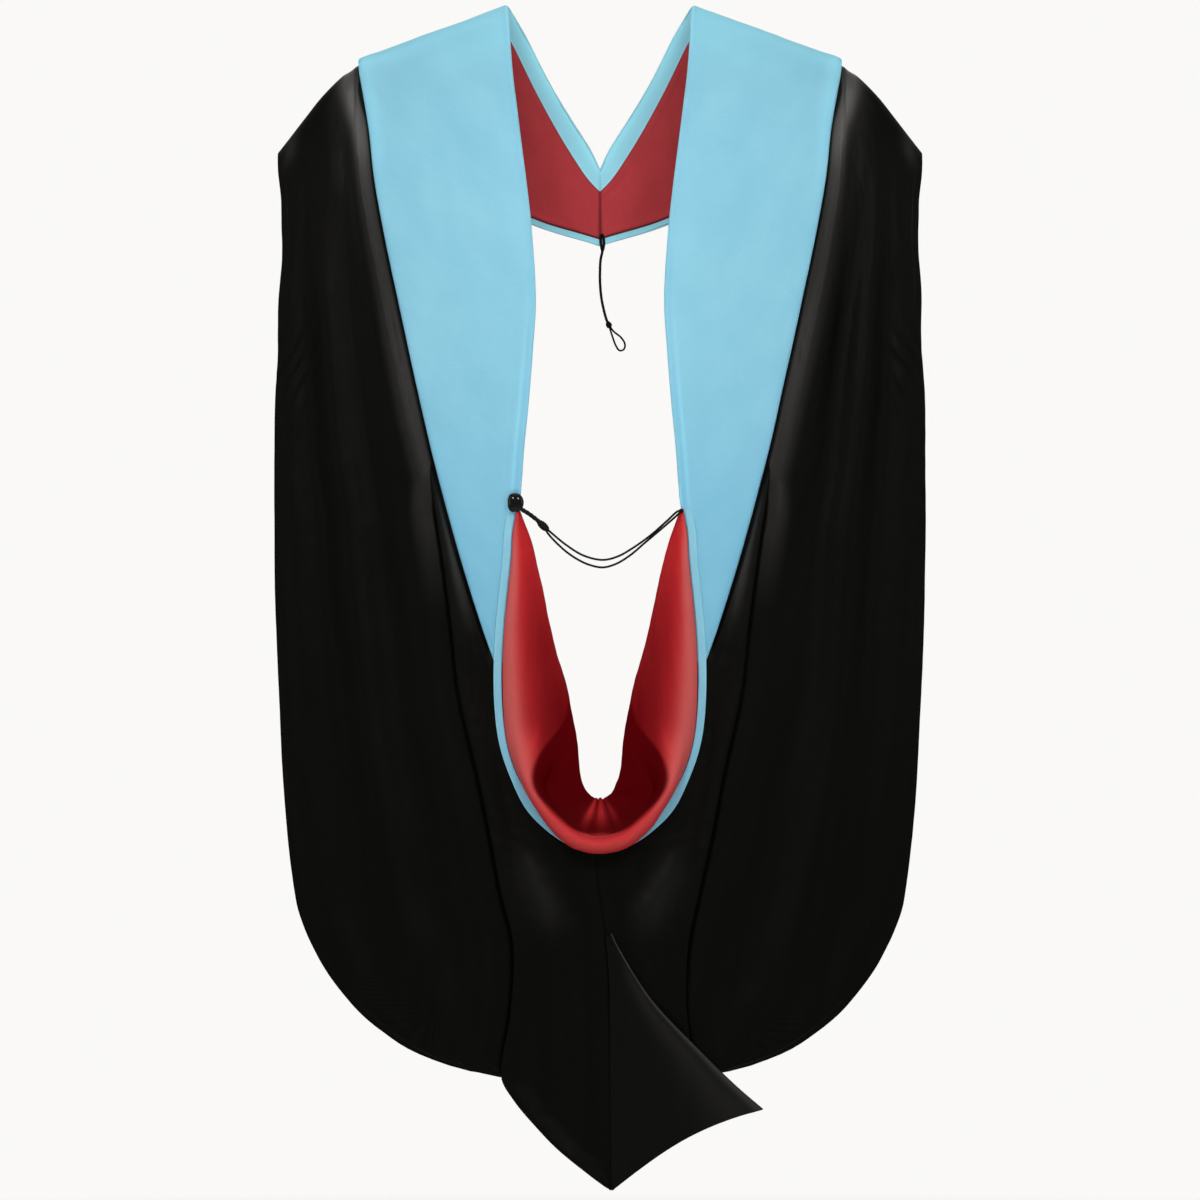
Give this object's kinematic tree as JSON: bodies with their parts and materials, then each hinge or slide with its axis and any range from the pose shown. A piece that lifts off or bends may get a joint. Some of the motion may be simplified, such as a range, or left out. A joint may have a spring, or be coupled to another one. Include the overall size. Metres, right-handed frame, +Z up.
{
  "type": "academic hood",
  "caption": "Worn-shape academic hood with pale velvet neckband, black satin shell, turned-out red lined cowl, folded tail, and button cords.",
  "frame": {"origin": "midway between the two neck sides of the band, on the shoulder ridge where the hood rests", "axes": "+Z up, +Y towards the wearer's front, so the back of the hood faces -Y; +X to the right as seen from the back"},
  "size_m": [0.6746, 0.243, 1.2202],
  "materials": {
    "velvet": "short pile",
    "lining": "matte weave",
    "red_satin": "satin",
    "black_satin": "satin",
    "cord": "braided",
    "gloss_black": "gloss"
  },
  "bodies": {
    "root": {"velvet_left": "velvet", "velvet_right": "velvet", "band_lining_left": "lining", "band_lining_right": "lining", "neck_hem_left": "velvet", "neck_hem_right": "velvet", "front_edge_left": "velvet", "front_edge_right": "velvet", "wing_left": "black_satin", "wing_right": "black_satin", "back_panel_left": "black_satin", "back_panel_right": "black_satin", "tail_turn": "black_satin", "cowl_lining": "red_satin", "cowl_edge": "velvet", "button": "gloss_black", "cord_twist": "cord", "slide_knot": "cord", "cord_upper": "cord", "cord_lower": "cord", "cord_tack": "cord", "front_loop_bar": "cord", "front_cord": "cord", "front_knot": "cord", "front_loop": "cord"}
  },
  "joints": []
}
